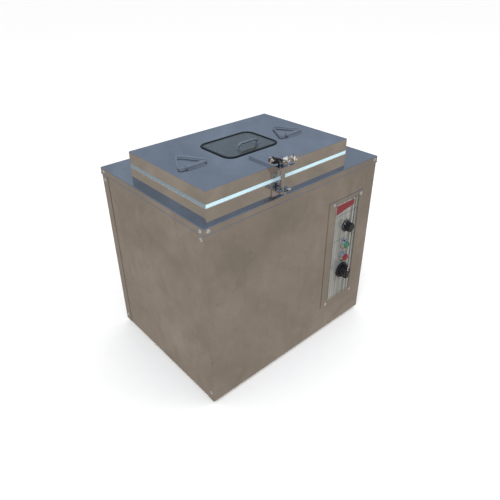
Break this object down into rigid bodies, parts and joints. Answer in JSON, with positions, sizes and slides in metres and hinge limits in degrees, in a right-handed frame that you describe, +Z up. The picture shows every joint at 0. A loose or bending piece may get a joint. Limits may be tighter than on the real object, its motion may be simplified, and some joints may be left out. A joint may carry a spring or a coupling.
{
  "type": "paraffin wax bath",
  "caption": "Bench-top paraffin wax bath: a mirror-bright steel cabinet round a heated tank, with a hinged insulated lid, a lift-out glazed window, a wing-nut clamp and a knob panel.",
  "frame": {"origin": "centre of the footprint, in the plane of the feet's undersides", "axes": "+X to the right along the front face, +Y from the front face to the rear, +Z up"},
  "size_m": [0.4316, 0.3612, 0.451],
  "materials": {
    "casing_steel": "mirror polished stainless sheet",
    "lid_steel": "mirror polished stainless sheet",
    "tank_steel": "satin stainless",
    "panel_steel": "polished stainless",
    "label_metal": "bright anodised, with a red band",
    "bright_fittings": "polished",
    "screw_steel": "zinc plated",
    "galvanised": "galvanised sheet",
    "element_sheath": "matt oxide",
    "brass": "plain",
    "insulation": "mineral wool board",
    "silicone_white": "smooth white silicone",
    "black_rubber": "moulded",
    "glass": "clear toughened",
    "black_plastic": "moulded",
    "switch_plastic": "moulded",
    "green_lens": "translucent",
    "red_lens": "translucent"
  },
  "bodies": {
    "casing": {"base_pan": "casing_steel", "front_panel": "casing_steel", "rear_panel": "casing_steel", "left_panel": "casing_steel", "right_panel": "casing_steel", "top_deck": "casing_steel", "tank_collar": "lid_steel", "inner_tank": "tank_steel", "panel_plate": "panel_steel", "label_plate": "label_metal", "green_lamp_bezel": "bright_fittings", "red_lamp_bezel": "bright_fittings", "body_hinge_leaves": "bright_fittings", "hinge_pins": "bright_fittings", "latch_keeper": "bright_fittings", "casing_screws": "screw_steel", "panel_screws": "screw_steel", "foot_screws": "screw_steel", "clamp_studs": "screw_steel", "partition_right": "galvanised", "partition_rear": "galvanised", "insulation_tray": "galvanised", "element_clamps": "galvanised", "heating_element": "element_sheath", "thermostat_probe": "brass", "bush_nuts": "brass", "insulation_jacket": "insulation", "insulation_base": "insulation", "feet": "black_rubber", "cable_gland": "black_plastic", "gland_locknut": "black_plastic", "thermostat_body": "switch_plastic", "selector_switch": "switch_plastic", "terminal_block": "switch_plastic", "green_lamp": "green_lens", "red_lamp": "red_lens"},
    "lid": {"lid_shell": "lid_steel", "window_frame": "lid_steel", "lid_liner": "lid_steel", "lid_insulation": "insulation", "lid_gasket": "silicone_white", "left_ring_bracket": "bright_fittings", "right_ring_bracket": "bright_fittings", "lid_hinge_leaves": "bright_fittings", "latch_bracket": "bright_fittings", "latch_washer": "bright_fittings"},
    "window": {"cover_glass": "glass", "cover_edging": "black_rubber", "cover_handle": "bright_fittings", "cover_nuts": "bright_fittings"},
    "left_ring": {"left_ring_pull": "bright_fittings"},
    "right_ring": {"right_ring_pull": "bright_fittings"},
    "clamp": {"clamp_bolt": "bright_fittings", "wing_nut": "bright_fittings"},
    "thermostat_control": {"thermostat_knob": "black_plastic", "thermostat_spindle": "screw_steel"},
    "selector_control": {"selector_knob": "black_plastic", "selector_spindle": "screw_steel"}
  },
  "joints": [
    {"name": "lid_hinge", "type": "hinge", "parent": "casing", "child": "lid", "pos_m": [-0.041, 0.0665, 0.4085], "axis": [-1, 0, 0], "range_deg": [0, 100]},
    {"name": "window_lift", "type": "slide", "parent": "lid", "child": "window", "axis": [0, 0, 1], "range_m": [0, 0.08]},
    {"name": "left_ring_hinge", "type": "hinge", "parent": "lid", "child": "left_ring", "pos_m": [-0.158, -0.07, 0.4363], "axis": [1, 0, 0], "range_deg": [0, 180]},
    {"name": "right_ring_hinge", "type": "hinge", "parent": "lid", "child": "right_ring", "pos_m": [0.065, -0.07, 0.4363], "axis": [1, 0, 0], "range_deg": [0, 180]},
    {"name": "clamp_turn", "type": "hinge", "parent": "lid", "child": "clamp", "pos_m": [-0.055, -0.165, 0.4385], "axis": [0, 0, 1], "range_deg": [0, 90]},
    {"name": "thermostat_turn", "type": "hinge", "parent": "casing", "child": "thermostat_control", "pos_m": [0.133, -0.163, 0.253], "axis": [0, 1, 0], "range_deg": [0, 270]},
    {"name": "selector_turn", "type": "hinge", "parent": "casing", "child": "selector_control", "pos_m": [0.133, -0.163, 0.147], "axis": [0, 1, 0], "range_deg": [0, 90]}
  ]
}
